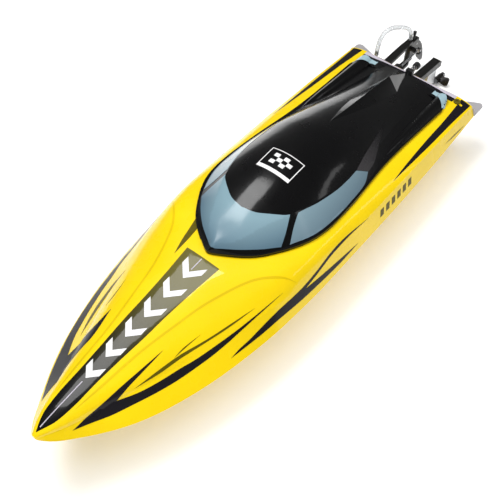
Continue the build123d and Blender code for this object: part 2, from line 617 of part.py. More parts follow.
# ---------------------------------------------------------------- cooling tube
def bend_radii(route):
    """The largest arc that each corner of the hose's route has room for."""
    points = [Vector(*point) for point in route]
    radii = []
    for before, corner, after in zip(points, points[1:], points[2:]):
        turn = radians((corner - before).get_angle(after - corner))
        shorter = min((corner - before).length, (after - corner).length)
        radii.append(0.45 * shorter / tan(turn / 2))
    return radii


radii = bend_radii(TUBE_PATH)
centre_line = FilletPolyline(*TUBE_PATH, radius=radii)
start = Plane(origin=centre_line @ 0, z_dir=centre_line % 0)
hose = sweep(start * Circle(TUBE_OUTER), path=centre_line)
hose -= sweep(start * Circle(TUBE_INNER), path=centre_line)
print("hose length", round(centre_line.length, 1), "volume", round(hose.volume, 1), "of",
      round(centre_line.length * pi * (TUBE_OUTER ** 2 - TUBE_INNER ** 2), 1))
print("hose bend radii", [round(radius, 1) for radius in radii])
elbow_x, elbow_y, hose_z = TUBE_PATH[-1]
elbow = rod_x(elbow_x, -297, elbow_y, ELBOW_Z, TUBE_INNER)
elbow += Pos(elbow_x, elbow_y, ELBOW_Z) * Sphere(TUBE_INNER + 0.3)
elbow += rod_z(elbow_x, elbow_y, ELBOW_Z, hose_z + 5, TUBE_INNER - 0.15)
elbow -= rod_x(elbow_x, -290, elbow_y, ELBOW_Z, 0.9)
elbow -= rod_z(elbow_x, elbow_y, ELBOW_Z, hose_z + 6, 0.9)
PARTS["water_tube"] = hose - pivot - elbow
PARTS["hull_shell"] -= rod_x(-301, -290, elbow_y, ELBOW_Z, TUBE_INNER)
PARTS["transom_nipple"] = elbow
OUTLET = (38.0, 40.0)
outlet = rod_x(-309, -303, *OUTLET, 1.9) + rod_x(-303, -300, *OUTLET, 3.6) + rod_x(-300, -296, *OUTLET, 1.9)
outlet -= rod_x(-310, -290, *OUTLET, 1.0)
PARTS["hull_shell"] -= rod_x(-301, -290, *OUTLET, 1.9)
PARTS["water_outlet"] = outlet


# ---------------------------------------------------------------- electrics
PARTS["radio_tray"] = radio_tray - shaft_rod(TUBE_START, COUPLER_START, TUBE_R + 1)
esc = box(-176, -122, 5, 42, floor, floor + 12)
for i in range(6):
    fin_x = -172 + 8 * i
    esc += box(fin_x, fin_x + 2.5, 8, 39, floor + 12, floor + 17)
PARTS["speed_controller"] = esc
receiver = box(-236, -186, -14, 40, floor, floor + 15)
receiver += box(-234, -188, -12, 38, floor + 15, floor + 17)
PARTS["receiver_box"] = receiver

x0, x1 = BATTERY_X - BATTERY[0] / 2, BATTERY_X + BATTERY[0] / 2
y0, y1 = BATTERY_Y - BATTERY[1] / 2, BATTERY_Y + BATTERY[1] / 2
z1 = BATTERY_Z + BATTERY[2]
battery = box(x0, x1, y0, y1, BATTERY_Z, z1)
battery = fillet(battery.edges().filter_by(Axis.X), 2)
tray = box(x0, x1, y0 - 3, 80, BATTERY_Z - TRAY_T, BATTERY_Z)
tray += box(x0, x1, y0 - 3, y0 - 1, 2, BATTERY_Z)
tray &= hull_space
STRAP_T = 1.2
straps = []
for x in (x0 + 22, x1 - 36):
    over = box(x, x + 14, y0 - STRAP_T, y1 + STRAP_T, BATTERY_Z, z1 + STRAP_T)
    straps.append(over - box(x - 1, x + 15, y0, y1, 0, z1))
    straps[-1] -= battery
PARTS["battery_port"] = battery
PARTS["battery_starboard"] = mirror_y(battery)
PARTS["battery_tray_port"] = tray
PARTS["battery_tray_starboard"] = mirror_y(tray)
PARTS["battery_straps"] = group(straps + [mirror_y(strap) for strap in straps])


# ---------------------------------------------------------------- trim tabs
TAB_Y, TAB_WIDTH, TAB_LENGTH = 77.0, 30.0, 25.0
TAB_CORNER = 8.0
DEADRISE = 22.46
tab_z = (TAB_Y - 9) * tan(radians(DEADRISE)) + 1.0
at_tab = Pos(-300, TAB_Y, tab_z) * Rot(DEADRISE, 0, 0)
half_w = TAB_WIDTH / 2
tab = box(-TAB_LENGTH, 0, -half_w, half_w, 0, 1.6)
tab = fillet(tab.edges().filter_by(Axis.Z).group_by(Axis.X)[0], TAB_CORNER)
tab += box(-1.8, 0, -half_w, half_w, 0, 10)
tab += prism_y([(0, 1.6), (0, 9), (-14, 1.6)], -1, 1)
tab = at_tab * tab
tab_screws = []
for v in (-8, 8):
    tab_screws.append(at_tab * (rod_x(-3.6, -1.8, v, 6, 2.1) + rod_x(-1.8, 2.6, v, 6, 1.3)))
both_screws = tab_screws + [mirror_y(screw) for screw in tab_screws]
for screw in tab_screws:
    tab -= screw
for screw in both_screws:
    PARTS["hull_shell"] -= screw
PARTS["trim_tab_port"] = tab
PARTS["trim_tab_starboard"] = mirror_y(tab)
PARTS["trim_tab_screws"] = group(both_screws)


# ---------------------------------------------------------------- origin and export
boxes = [part.bounding_box() for part in PARTS.values()]
x_mid = (min(b.min.X for b in boxes) + max(b.max.X for b in boxes)) / 2
z_low = min(b.min.Z for b in boxes)
shift = Pos(-x_mid, 0, -z_low)
print("working frame moved by", -x_mid, 0, -z_low)
os.makedirs("parts", exist_ok=True)
for name, part in PARTS.items():
    moved = shift * part
    moved.label = name
    export_step(moved, "parts/" + name + ".step")
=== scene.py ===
import json
import math

import bpy
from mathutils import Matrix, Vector
from mathutils.bvhtree import BVHTree
from mathutils.geometry import delaunay_2d_cdt


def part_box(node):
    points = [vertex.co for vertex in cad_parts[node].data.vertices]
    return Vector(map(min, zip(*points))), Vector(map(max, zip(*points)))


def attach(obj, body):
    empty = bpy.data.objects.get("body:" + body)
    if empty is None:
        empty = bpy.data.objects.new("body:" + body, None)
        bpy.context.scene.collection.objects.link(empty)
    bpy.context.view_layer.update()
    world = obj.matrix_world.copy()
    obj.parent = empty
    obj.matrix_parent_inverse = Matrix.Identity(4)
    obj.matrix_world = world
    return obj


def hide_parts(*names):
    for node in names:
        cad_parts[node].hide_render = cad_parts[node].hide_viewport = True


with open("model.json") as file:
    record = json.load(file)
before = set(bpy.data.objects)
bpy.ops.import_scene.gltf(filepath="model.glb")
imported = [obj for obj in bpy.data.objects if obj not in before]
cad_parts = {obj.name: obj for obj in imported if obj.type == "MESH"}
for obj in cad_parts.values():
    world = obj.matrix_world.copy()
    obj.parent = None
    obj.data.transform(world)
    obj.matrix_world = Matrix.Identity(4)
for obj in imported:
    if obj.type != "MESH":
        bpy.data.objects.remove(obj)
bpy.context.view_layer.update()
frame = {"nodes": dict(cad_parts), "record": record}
NODES = frame["nodes"]
RECORD = frame["record"]

# Outlines are drawn in the hull's own frame, in millimetres: x to the bow from amidships, y to
# port, z up from the keel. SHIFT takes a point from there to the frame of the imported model.
MM = 0.001
TRANSOM_X = -300.0
hull_low, hull_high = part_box("hull_shell")
SHIFT = Vector((hull_low.x / MM - TRANSOM_X, 0.0, hull_low.z / MM))

# ------------------------------------------------------------------ camera
VIEW_AZIMUTH, VIEW_ELEVATION = math.radians(39.29), math.radians(53.52)
VIEW_DISTANCE = 0.778
VIEW_LENS = 55.66
VIEW_SENSOR = 36.0
VIEW_NEAR = 0.01
VIEW_AIM = (29.1, 17.2, 50.0)


def hull(x, y, z):
    """Point of the hull's frame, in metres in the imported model's frame."""
    return (Vector((x, y, z)) + SHIFT) * MM


def add_object(name, data):
    obj = bpy.data.objects.new(name, data)
    bpy.context.scene.collection.objects.link(obj)
    return obj


def make_camera():
    flat = math.cos(VIEW_ELEVATION)
    back = Vector((math.cos(VIEW_AZIMUTH) * flat, math.sin(VIEW_AZIMUTH) * flat,
                   math.sin(VIEW_ELEVATION)))
    camera = add_object("camera", bpy.data.cameras.new("camera"))
    camera.data.lens = VIEW_LENS
    camera.data.sensor_width = VIEW_SENSOR
    camera.data.clip_start = VIEW_NEAR
    camera.location = hull(*VIEW_AIM) + back * VIEW_DISTANCE
    camera.rotation_euler = back.to_track_quat("Z", "Y").to_euler()
    bpy.context.scene.camera = camera


make_camera()


# ------------------------------------------------------------------ material helpers
# Noise scales, in spots to the metre, and heights of relief, in metres
DRIFT_SPOTS = 18
GLOSS_SPOTS = 60
PEEL_SPOTS = 420
PAINT_RELIEF = 0.0003
PLASTIC_RELIEF = 0.0002
METAL_RELIEF = 0.0001


class Nodes:
    """Short names for the nodes of one material."""

    def __init__(self, name):
        self.material = bpy.data.materials.new(name)
        self.material.use_nodes = True
        self.tree = self.material.node_tree
        self.shader = self.tree.nodes["Principled BSDF"]

    def add(self, kind, **values):
        node = self.tree.nodes.new(kind)
        for key, value in values.items():
            if key in node.inputs:
                node.inputs[key].default_value = value
            else:
                setattr(node, key, value)
        return node

    def link(self, a, b):
        self.tree.links.new(a, b)

    def set(self, **values):
        for key, value in values.items():
            self.shader.inputs[key.replace("_", " ")].default_value = value

    def place(self, scale=(1, 1, 1), rotation=(0, 0, 0)):
        """Position on the object, in metres times scale."""
        at = self.add("ShaderNodeTexCoord")
        mapping = self.add("ShaderNodeMapping")
        mapping.inputs["Scale"].default_value = scale
        mapping.inputs["Rotation"].default_value = rotation
        self.link(at.outputs["Object"], mapping.inputs["Vector"])
        return mapping.outputs["Vector"]

    def noise(self, where, scale, detail=3.0, roughness=0.5):
        node = self.add("ShaderNodeTexNoise", Scale=scale, Detail=detail, Roughness=roughness)
        self.link(where, node.inputs["Vector"])
        return node.outputs["Fac"]

    def ramp(self, factor, stops):
        node = self.add("ShaderNodeValToRGB")
        elements = node.color_ramp.elements
        while len(elements) < len(stops):
            elements.new(0.5)
        for element, (at, colour) in zip(elements, stops):
            element.position = at
            element.color = (*colour, 1)
        self.link(factor, node.inputs["Fac"])
        return node.outputs["Color"]

    def grey_ramp(self, factor, low, high, start=0.3, end=0.7):
        node = self.add("ShaderNodeMapRange")
        node.inputs["From Min"].default_value = start
        node.inputs["From Max"].default_value = end
        node.inputs["To Min"].default_value = low
        node.inputs["To Max"].default_value = high
        self.link(factor, node.inputs["Value"])
        return node.outputs["Result"]

    def bump(self, height, strength, distance):
        node = self.add("ShaderNodeBump", Strength=strength, Distance=distance)
        self.link(height, node.inputs["Height"])
        self.link(node.outputs["Normal"], self.shader.inputs["Normal"])

    def colour(self, output):
        self.link(output, self.shader.inputs["Base Color"])

    def rough(self, output):
        self.link(output, self.shader.inputs["Roughness"])


def rgb(colour, factor):
    return tuple(min(c * factor, 1.0) for c in colour)


def mottled(n, colour, spread, scale):
    """Base colour that drifts a little over the surface."""
    drift = n.noise(n.place(), scale, 4)
    n.colour(n.ramp(drift, [(0.3, rgb(colour, 1 - spread)), (0.7, rgb(colour, 1 + spread))]))


def gloss_paint(name, colour, peel=0.12, spread=0.04, roughness=0.28, gloss=0.04, coat_index=1.5,
                coat=1.0):
    """Sprayed gloss coat with a faint orange peel."""
    n = Nodes(name)
    mottled(n, colour, spread, DRIFT_SPOTS)
    n.rough(n.grey_ramp(n.noise(n.place(), GLOSS_SPOTS, 3), roughness - 0.05, roughness + 0.06))
    n.bump(n.noise(n.place(), PEEL_SPOTS, 2), peel, PAINT_RELIEF)
    n.set(Coat_Weight=coat, Coat_Roughness=gloss, Coat_IOR=coat_index, Specular_IOR_Level=0.12)
    return n.material


def moulded_plastic(name, colour, roughness=0.42, grain=900, depth=0.25, spread=0.12):
    """Moulded plastic with a fine eroded grain."""
    n = Nodes(name)
    mottled(n, colour, spread, 60)
    n.rough(n.grey_ramp(n.noise(n.place(), 220, 4), roughness - 0.08, roughness + 0.1))
    n.bump(n.noise(n.place(), grain, 5, 0.6), depth, PLASTIC_RELIEF)
    return n.material


def worked_metal(name, colour, roughness=0.3, stretch=(1, 1, 1), depth=0.15, spread=0.08, scale=900):
    """Metal with fine lines along the direction of least stretch."""
    n = Nodes(name)
    where = n.place(scale=stretch)
    lines = n.noise(where, scale, 3, 0.6)
    n.colour(n.ramp(lines, [(0.25, rgb(colour, 1 - spread)), (0.75, rgb(colour, 1 + spread))]))
    n.rough(n.grey_ramp(n.noise(where, scale * 0.6, 2), roughness - 0.08, roughness + 0.1))
    n.bump(lines, depth, METAL_RELIEF)
    n.set(Metallic=1.0)
    return n.material


def rubber(name, colour=(0.012, 0.012, 0.012)):
    n = Nodes(name)
    mottled(n, colour, 0.25, 90)
    n.rough(n.grey_ramp(n.noise(n.place(), 300, 4), 0.55, 0.75))
    n.bump(n.noise(n.place(), 1400, 3), 0.3, PLASTIC_RELIEF)
    return n.material


def clear_hose(name):
    """Milky silicone hose that lets light through."""
    n = Nodes(name)
    n.rough(n.grey_ramp(n.noise(n.place(), 200, 3), 0.16, 0.3))
    n.bump(n.noise(n.place(), 500, 3), 0.12, PLASTIC_RELIEF)
    n.set(Base_Color=(0.9, 0.92, 0.93, 1), Transmission_Weight=0.72, IOR=1.38)
    return n.material


def woven_strap(name):
    n = Nodes(name)
    wave = n.add("ShaderNodeTexWave", Scale=420, Distortion=0.6)
    n.link(n.place(), wave.inputs["Vector"])
    n.colour(n.ramp(wave.outputs["Fac"], [(0.2, (0.008, 0.008, 0.009)), (0.8, (0.03, 0.03, 0.033))]))
    n.bump(wave.outputs["Fac"], 0.5, 0.0004)
    n.set(Roughness=0.8, Sheen_Weight=0.3)
    return n.material


def printed_wrap(name):
    """Shrink wrap of a battery pack, dark with a pale band."""
    n = Nodes(name)
    wave = n.add("ShaderNodeTexWave", Scale=4.5, Distortion=0.0)
    n.link(n.place(), wave.inputs["Vector"])
    bands = [(0.0, (0.03, 0.04, 0.06)), (0.86, (0.03, 0.04, 0.06)), (0.88, (0.5, 0.52, 0.55))]
    n.colour(n.ramp(wave.outputs["Fac"], bands))
    n.rough(n.grey_ramp(n.noise(n.place(), 120, 3), 0.2, 0.4))
    n.bump(n.noise(n.place(), 90, 4), 0.35, 0.0008)
    n.set(Coat_Weight=0.5, Coat_Roughness=0.15)
    return n.material


# ------------------------------------------------------------------ materials of the CAD nodes
YELLOW = (0.93, 0.66, 0.004)
BLACK = (0.0022, 0.0022, 0.0025)
PRINT_BLACK = (0.011, 0.01, 0.0125)
OLIVE = (0.105, 0.085, 0.005)

FINISHES = {
    "hull_yellow": gloss_paint("yellow_gloss", YELLOW, coat_index=1.38),
    "plug_olive": moulded_plastic("plug_olive", (0.12, 0.1, 0.01), 0.3),
    "canopy_black": gloss_paint("canopy_gloss", BLACK, 0.04, 0.2, roughness=0.3, gloss=0.1,
                                coat_index=1.38),
    "seal_rubber": rubber("seal_foam"),
    "ring_blue": gloss_paint("pale_blue", (0.36, 0.52, 0.58), roughness=0.25),
    "black_plastic": moulded_plastic("black_nylon", (0.014, 0.014, 0.015)),
    "steel": worked_metal("turned_steel", (0.62, 0.62, 0.64), 0.22),
    "screw_steel": worked_metal("screw_steel", (0.34, 0.34, 0.35), 0.32),
    "brass_tube": worked_metal("brass", (0.62, 0.42, 0.17), 0.3, (1, 8, 8)),
    "aluminium_plain": worked_metal("milled_aluminium", (0.6, 0.61, 0.63), 0.34, (8, 1, 8)),
    "motor_black": worked_metal("motor_anodised", (0.035, 0.036, 0.04), 0.38),
    "jacket_blue": worked_metal("jacket_anodised", (0.03, 0.1, 0.36), 0.3),
    "hardware_black": moulded_plastic("glass_filled_nylon", (0.007, 0.0068, 0.0062), 0.36, 700, 0.4),
    "propeller_plastic": moulded_plastic("propeller_nylon", (0.01, 0.0085, 0.0075), 0.34, 800, 0.3),
    "grey_nipple": worked_metal("nipple_alloy", (0.42, 0.43, 0.45), 0.35),
    "bellows_rubber": rubber("bellows_rubber"),
    "white_plastic": moulded_plastic("servo_horn_white", (0.75, 0.74, 0.7), 0.4, spread=0.03),
    "silicone_clear": clear_hose("silicone_hose"),
    "tray_plastic": moulded_plastic("tray_black", (0.02, 0.02, 0.022), 0.6),
    "electronics_blue": moulded_plastic("controller_case", (0.02, 0.06, 0.22), 0.4),
    "battery_wrap": printed_wrap("battery_wrap"),
    "strap_fabric": woven_strap("strap_weave"),
    "tab_grey": moulded_plastic("tab_pale_grey", (0.4, 0.39, 0.41), 0.34, spread=0.04),
}

for entry in RECORD["subparts"]:
    node = NODES[entry["node"]]
    node.data.materials.clear()
    node.data.materials.append(FINISHES[entry["material_slot"]])


# ------------------------------------------------------------------ cooling tube
TUBE_ROUTE = [(-360, -38, 46), (-359, -38.3, 57), (-352, -40.5, 66.5), (-339.5, -44.5, 73),
              (-325, -48.5, 79), (-313.5, -51.5, 77.5), (-308.5, -53.5, 69), (-307.8, -54.6, 57),
              (-308, -55, 45.5)]
TUBE_DIAMETER = 5.2


def make_tube():
    data = bpy.data.curves.new("cooling_tube", "CURVE")
    data.dimensions = "3D"
    spline = data.splines.new("NURBS")
    spline.points.add(len(TUBE_ROUTE) - 1)
    for point, at in zip(spline.points, TUBE_ROUTE):
        point.co = (*hull(*at), 1)
    spline.order_u = 3
    spline.use_endpoint_u = True
    data.bevel_depth = TUBE_DIAMETER / 2 * MM
    data.bevel_resolution = 6
    data.resolution_u = 16
    data.use_fill_caps = True
    data.materials.append(FINISHES["silicone_clear"])
    tube = add_object("cooling_tube", data)
    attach(tube, "hull")
    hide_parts("water_tube")


make_tube()


# ------------------------------------------------------------------ printed sheets, and sheets of painted highlight, shade and reflection
def sheet_print_and_painted_light(name, colour, roughness=0.3):
    """Thin gloss sheet, thinner in gloss than the paint: printed vinyl, and the painted highlight and painted
    shade lines.
    """
    return gloss_paint(name, colour, 0.06, 0.08, roughness, coat_index=1.3, coat=0.4)


def run_along(n, axis, start, end, shift):
    """Factor that rises from 0 to 1 between two places on one of the hull's axes."""
    at = n.add("ShaderNodeTexCoord")
    split = n.add("ShaderNodeSeparateXYZ")
    n.link(at.outputs["Object"], split.inputs["Vector"])
    return n.grey_ramp(split.outputs[axis], 0.0, 1.0, (start + shift) * MM, (end + shift) * MM)


def fading_print_and_painted_sheen(name, stops, x_start, x_end):
    """Gloss sheet whose colour runs from x_start to x_end along the hull: the bow band's print, and the
    painted reflection on the canopy's side panels.
    """
    n = Nodes(name)
    n.colour(n.ramp(run_along(n, "X", x_start, x_end, SHIFT.x), stops))
    n.rough(n.grey_ramp(n.noise(n.place(), GLOSS_SPOTS, 3), 0.22, 0.32))
    n.bump(n.noise(n.place(), PEEL_SPOTS, 2), 0.08, PAINT_RELIEF)
    n.set(Coat_Weight=1.0, Coat_Roughness=0.05, Coat_IOR=1.3, Specular_IOR_Level=0.1)
    return n.material


def smooth_run(points, step=2.0):
    """Curve through the points, close enough together to look smooth."""
    if len(points) < 3:
        return [Vector(p) for p in points]
    run = [Vector(p) for p in points]
    run = [run[0] * 2 - run[1]] + run + [run[-1] * 2 - run[-2]]
    curve = []
    for a, b, c, d in zip(run, run[1:], run[2:], run[3:]):
        pieces = max(int((c - b).length / step), 1)
        for i in range(pieces):
            t = i / pieces
            curve.append(0.5 * (2 * b + (c - a) * t + (2 * a - 5 * b + 4 * c - d) * t * t
                                + (3 * b - a - 3 * c + d) * t ** 3))
    return curve + [run[-2]]


# Points closer than MERGE, in millimetres, are one point. The other two are shares of a cell: the
# longest edge of an outline, and the room kept free along it.
MERGE = 0.05
EDGE_SHARE = 0.8
CLEAR_SHARE = 0.45


def outline(*runs):
    """Closed outline made of smooth runs that meet at corners."""
    loop = []
    for run in runs:
        for point in smooth_run(run):
            if not loop or (point - loop[-1]).length > MERGE:
                loop.append(point)
    if (loop[0] - loop[-1]).length < MERGE:
        loop.pop()
    return loop


def divided(loop, step):
    """The same outline with no edge longer than the step."""
    points = []
    for a, b in zip(loop, loop[1:] + loop[:1]):
        pieces = max(math.ceil((b - a).length / step), 1)
        points += [a.lerp(b, i / pieces) for i in range(pieces)]
    return points


def fill(loop, cell):
    """Triangles inside the outline, on a grid of the given cell."""
    loop = divided(loop, EDGE_SHARE * cell)
    xs = [p.x for p in loop]
    ys = [p.y for p in loop]
    points = list(loop)
    edges = [(i, (i + 1) % len(loop)) for i in range(len(loop))]
    columns = int((max(xs) - min(xs)) / cell)
    rows = int((max(ys) - min(ys)) / cell)
    for i in range(1, columns + 1):
        for j in range(1, rows + 1):
            point = Vector((min(xs) + i * cell, min(ys) + j * cell))
            if all((point - p).length > CLEAR_SHARE * cell for p in loop):
                points.append(point)
    result = delaunay_2d_cdt(points, edges, [], 1, 0.0001)
    return result[0], result[2]


BOTH_SIDES = (("port", 1), ("starboard", -1))
SIDE_ANGLE = math.radians(60)
RAY_START = 400.0
RAY_MISS_REACH = 0.35
TOP_VIEW = (Vector((1, 0, 0)), Vector((0, 1, 0)), Vector((0, 0, 1)))


def side_view(side):
    """Axes of a view from 30 degrees above the port or starboard side."""
    across = Vector((0, side * math.cos(SIDE_ANGLE), -math.sin(SIDE_ANGLE)))
    towards = Vector((0, side * math.sin(SIDE_ANGLE), math.cos(SIDE_ANGLE)))
    return Vector((1, 0, 0)), across, towards


class Surface:
    """The surfaces of some CAD nodes, to lay things on."""

    def __init__(self, *names):
        points, faces = [], []
        self.corners = []
        for name in names:
            mesh = NODES[name].data
            start = len(points)
            points += [v.co.copy() for v in mesh.vertices]
            for polygon in mesh.polygons:
                faces.append([start + i for i in polygon.vertices])
                ends = [(mesh.vertices[mesh.loops[i].vertex_index].co.copy(),
                         mesh.corner_normals[i].vector.copy()) for i in polygon.loop_indices]
                self.corners.append(ends)
        self.tree = BVHTree.FromPolygons(points, faces)

    def meet(self, start, direction):
        """Where a ray first meets the surface, and the smooth normal there."""
        spot, _, index, _ = self.tree.ray_cast(start, direction)
        if spot is None:
            spot, _, index, _ = self.tree.find_nearest(start + direction * RAY_MISS_REACH)
        (a, na), (b, nb), (c, nc) = self.corners[index][:3]
        whole = (b - a).cross(c - a).length
        share_a = (b - spot).cross(c - spot).length / whole
        share_b = (c - spot).cross(a - spot).length / whole
        normal = (na * share_a + nb * share_b + nc * (1 - share_a - share_b)).normalized()
        if normal.dot(direction) > 0:
            normal = -normal
        return spot, normal


HULL_SURFACE = Surface("hull_shell", "deck")
CANOPY_SURFACE = Surface("canopy")
REAR_SURFACE = Surface("canopy", "deck")
SHEET_THICKNESS = 0.16


def lay_sheet(name, loop, view, on, material, body, cell=2.6, lift=0.16):
    """Thin sheet cut to the outline and laid on the surface below it, carrying print, and on some sheets
    painted highlight, shade and reflection.
    """
    right, up, towards = view
    points, faces = fill(loop, cell)
    base = hull(0, 0, 0)
    spots, normals = [], []
    for p in points:
        start = base + (right * p.x + up * p.y + towards * RAY_START) * MM
        spot, normal = on.meet(start, -towards)
        spots.append(spot + normal * lift * MM)
        normals.append(normal)
    count = len(spots)
    spots += [spot - normal * SHEET_THICKNESS * MM for spot, normal in zip(spots, normals)]
    normals += [-normal for normal in normals]
    shells = []
    edges = {}
    for a, b, c in faces:
        if (spots[b] - spots[a]).cross(spots[c] - spots[a]).dot(towards) < 0:
            a, b, c = a, c, b
        shells += [(a, b, c), (c + count, b + count, a + count)]
        for edge in ((a, b), (b, c), (c, a)):
            edges[edge] = True
    for a, b in edges:
        if (b, a) not in edges:
            shells.append((b, a, a + count, b + count))
    data = bpy.data.meshes.new(name)
    data.from_pydata(spots, [], shells)
    data.shade_smooth()
    data.normals_split_custom_set_from_vertices(normals)
    data.materials.append(material)
    obj = add_object(name, data)
    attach(obj, body)
    return obj


BLACK_PRINT = sheet_print_and_painted_light("print_black", PRINT_BLACK)
OLIVE_PRINT = sheet_print_and_painted_light("print_olive", OLIVE)
WHITE_PRINT = sheet_print_and_painted_light("print_white", (0.86, 0.86, 0.86), 0.35)
# Painted highlight: pale lilac sheet for glints along edges and ridges
LILAC_HIGHLIGHT = sheet_print_and_painted_light("painted_highlight_lilac", (0.56, 0.52, 0.6), 0.35)


def bar(x0, x1, y0, y1):
    return [Vector(p) for p in ((x0, y0), (x1, y0), (x1, y1), (x0, y1))]


def on_side(loop, side):
    return [Vector((p.x, side * p.y)) for p in loop]


def mirrored(points):
    return [(x, -y) for x, y in reversed(points)]


# Bow band: black at the tip, olive towards the windscreen
BAND_SIDE = [(296, 0.2), (286, 5), (276, 8), (257, 10), (233, 10.5), (205, 12), (175, 14), (149, 15),
             (117, 17), (79, 20.5)]
BAND_COLOURS = [(0.0, (0.004, 0.004, 0.004)), (0.3, (0.02, 0.018, 0.004)), (0.55, (0.06, 0.052, 0.006)),
                (0.8, (0.115, 0.1, 0.014)), (1.0, (0.13, 0.115, 0.02))]
band = outline(BAND_SIDE, mirrored(BAND_SIDE))
lay_sheet("bow_band", band, TOP_VIEW, HULL_SURFACE, fading_print_and_painted_sheen("print_band", BAND_COLOURS, 250, 80),
          "hull")

# Row of arrowheads on the band, in place of its lettering
ARROW_TIPS = [236, 211, 186, 161, 135, 108]
ARROW_HALF = 8.2
ARROW_GROWTH = 0.8
ARROW_SWEEP = 1.05
ARROW_STROKE = 8.5
UPPER_LIFT = 0.32
for i, tip in enumerate(ARROW_TIPS):
    half = ARROW_HALF + ARROW_GROWTH * i
    ear = tip - ARROW_SWEEP * half
    arrow = [Vector(p) for p in ((tip, 0), (ear, half), (ear - ARROW_STROKE, half),
                                 (tip - ARROW_STROKE, 0), (ear - ARROW_STROKE, -half), (ear, -half))]
    lay_sheet(f"band_arrow_{i}", arrow, TOP_VIEW, HULL_SURFACE, WHITE_PRINT, "hull",
              lift=UPPER_LIFT)
# Painted highlight: thin lilac lines along the band's centre ridge, fore and aft
LINE_HALF = 0.45
LINES = (("fore", 240, 291), ("aft", 81, 96))
for name, x0, x1 in LINES:
    line = bar(x0, x1, -LINE_HALF, LINE_HALF)
    lay_sheet(f"band_painted_highlight_{name}", line, TOP_VIEW, HULL_SURFACE, LILAC_HIGHLIGHT, "hull",
              lift=UPPER_LIFT)

# Flames and streaks along the sides, drawn as x and distance across the side view. The bow flame
# and its streak are drawn for each side; the rest is the same on both.
PORT_FLAME = ([(274, -30), (260, -26), (243, -20.5), (225, -16.6), (198, -11.5), (172, -8.4), (134, -7),
               (96, -9.6), (54, -12.6)],
              [(54, -12.6), (108, -11.6), (151, -13.2), (171, -15.6), (192, -17.8), (212, -21.2), (231, -27)],
              [(231, -27), (218, -31), (203, -33.4), (172, -37.2)],
              [(172, -37.2), (200, -36.4), (222, -35.6), (240, -34), (255, -32.4), (274, -30)])
PORT_STREAK = ([(213, -26.4), (188, -26.6), (164, -25.6), (134, -21.6), (84, -17.4)],
               [(84, -17.4), (113, -18.0), (145, -20.8), (166, -22.8), (188, -23.6), (213, -26.4)])
STARBOARD_FLAME = ([(272, -25), (258, -16), (245, -10), (225, -3), (200, 3.5), (170, 8), (130, 10.5),
                    (100, 10)],
                   [(100, 10), (130, 2.5), (158, 0), (186, -4.3), (208, -9.5), (226, -18)],
                   [(226, -18), (213, -23), (192, -32), (171, -36.7)],
                   [(171, -36.7), (200, -39), (214, -37.4), (232, -34), (250, -30), (272, -25)])
STARBOARD_STREAK = ([(204, -16.5), (185, -11.2), (166, -9.4), (146, -11), (128, -18)],
                    [(128, -18), (146, -14.6), (161, -14.4), (178, -14.6), (204, -16.5)])
THIN_LINE = ([(170, -26.6), (158, -28.6), (138, -28.4)], [(138, -28.4), (156, -27.6), (170, -26.6)])
SLIVER = ([(130, 6), (118, 4.2), (105, 3.6), (89, 1.6), (65, -0.8), (36, -1.4), (13, -3.8), (-14, -7.8),
           (-41, -7.4), (-78, -2.4)],
          [(-78, -2.4), (-47, -4.8), (-15, -4.6), (12, -0.6), (30, 2.2)],
          [(30, 2.2), (9, 4.6), (-20, 8), (-54, 12)],
          [(-54, 12), (-22, 12.6), (12, 10.8), (42, 9.4), (69, 7.8), (94, 7.6), (130, 6)])
SHOULDER = ([(-133, -9.2), (-167, -7.2), (-211, -4.6), (-257, -2.4), (-298.5, 0.4)],
            [(-298.5, 0.4), (-298.5, -8.2)],
            [(-298.5, -8.2), (-252, -8.6), (-206, -9.8), (-161, -10), (-133, -9.2)])
PIN_LINE = ([(-232, 9.6), (-255, 11), (-278, 13.4)], [(-278, 13.4), (-255, 12.4), (-232, 9.6)])
SIDES = {
    "port": (1, PORT_FLAME, PORT_STREAK),
    "starboard": (-1, STARBOARD_FLAME, STARBOARD_STREAK),
}
MARK_COUNT = 6
MARK_START = -96
MARK_PITCH = 11.0
MARK_TOP, MARK_FOOT = 10.6, 3.4
MARK_WIDTH = 6.5
MARK_LEAN = 3
for side_name, (side, flame, streak) in SIDES.items():
    view = side_view(side)
    prints = {
        "flame": (flame, BLACK_PRINT),
        "streak": (streak, OLIVE_PRINT),
        "thin_line": (THIN_LINE, OLIVE_PRINT),
        "sliver": (SLIVER, BLACK_PRINT),
        "shoulder": (SHOULDER, BLACK_PRINT),
        "pin_line": (PIN_LINE, OLIVE_PRINT),
    }
    for part_name, (runs, material) in prints.items():
        lay_sheet(f"{part_name}_{side_name}", outline(*runs), view, HULL_SURFACE, material,
                  "hull")
    for i in range(MARK_COUNT):
        x = MARK_START - i * MARK_PITCH
        foot = x - MARK_LEAN
        mark = [Vector(p) for p in ((x, MARK_TOP), (x - MARK_WIDTH, MARK_TOP),
                                    (foot - MARK_WIDTH, MARK_FOOT), (foot, MARK_FOOT))]
        lay_sheet(f"side_mark_{side_name}_{i}", mark, view, HULL_SURFACE, OLIVE_PRINT,
                  "hull")

# Dark streak from the band to the starboard side of the windscreen, and painted shade: darker yellow lines
# along the platform's edge crease
DECK_STREAK = ([(92, -26), (76, -31), (58, -35.5), (38, -41)],
               [(38, -41), (47, -31), (67, -27), (92, -26)])
lay_sheet("deck_streak", outline(*DECK_STREAK), TOP_VIEW, HULL_SURFACE, OLIVE_PRINT, "hull")
PLATFORM_SHADE_LINE = [(262, 12.5), (236, 16.5), (190, 21), (149, 28), (111, 36), (71, 51), (49, 68), (37, 81)]
CREASE_BACK, CREASE_IN = 1.2, 1.9
